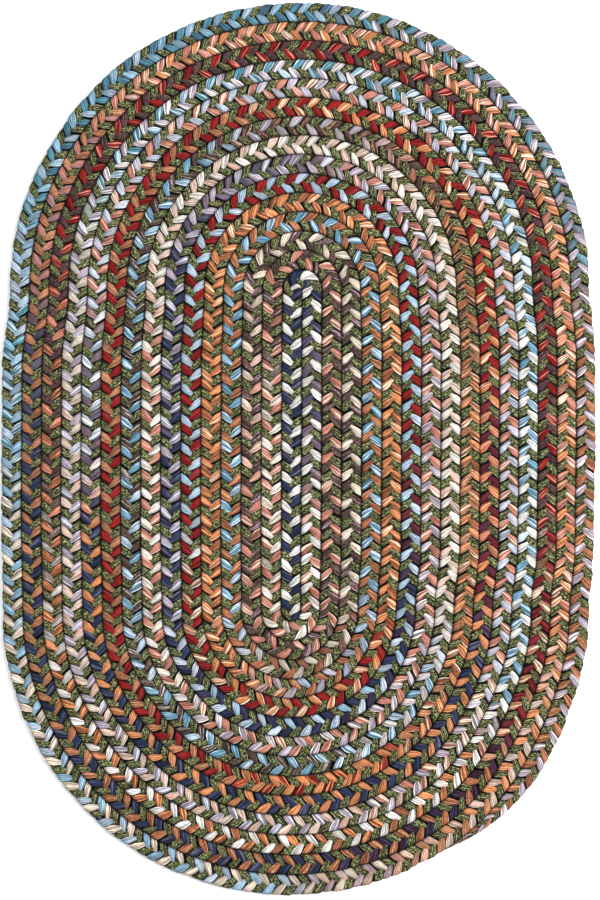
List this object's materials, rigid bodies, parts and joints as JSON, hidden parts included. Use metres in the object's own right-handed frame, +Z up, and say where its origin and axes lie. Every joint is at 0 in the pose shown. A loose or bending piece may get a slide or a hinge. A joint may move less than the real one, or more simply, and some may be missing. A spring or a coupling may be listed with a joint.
{
  "type": "braided rug",
  "caption": "Oval braided rug: one long flat plait of yarn strands, coiled outwards from a straight core line and laced edge to edge, ribbed on both faces.",
  "frame": {"origin": "middle of the rug's underside, on the floor", "axes": "+Y along the rug's length towards the head of the core line, +Z up through its thickness, +X to the right"},
  "size_m": [0.6092, 0.9155, 0.012],
  "materials": {
    "braided_yarn": "matt wool-like heather yarn, an olive strand plaited with two strands whose colours change along their length"
  },
  "bodies": {
    "root": {"coiled_plait": "braided_yarn"}
  },
  "joints": []
}
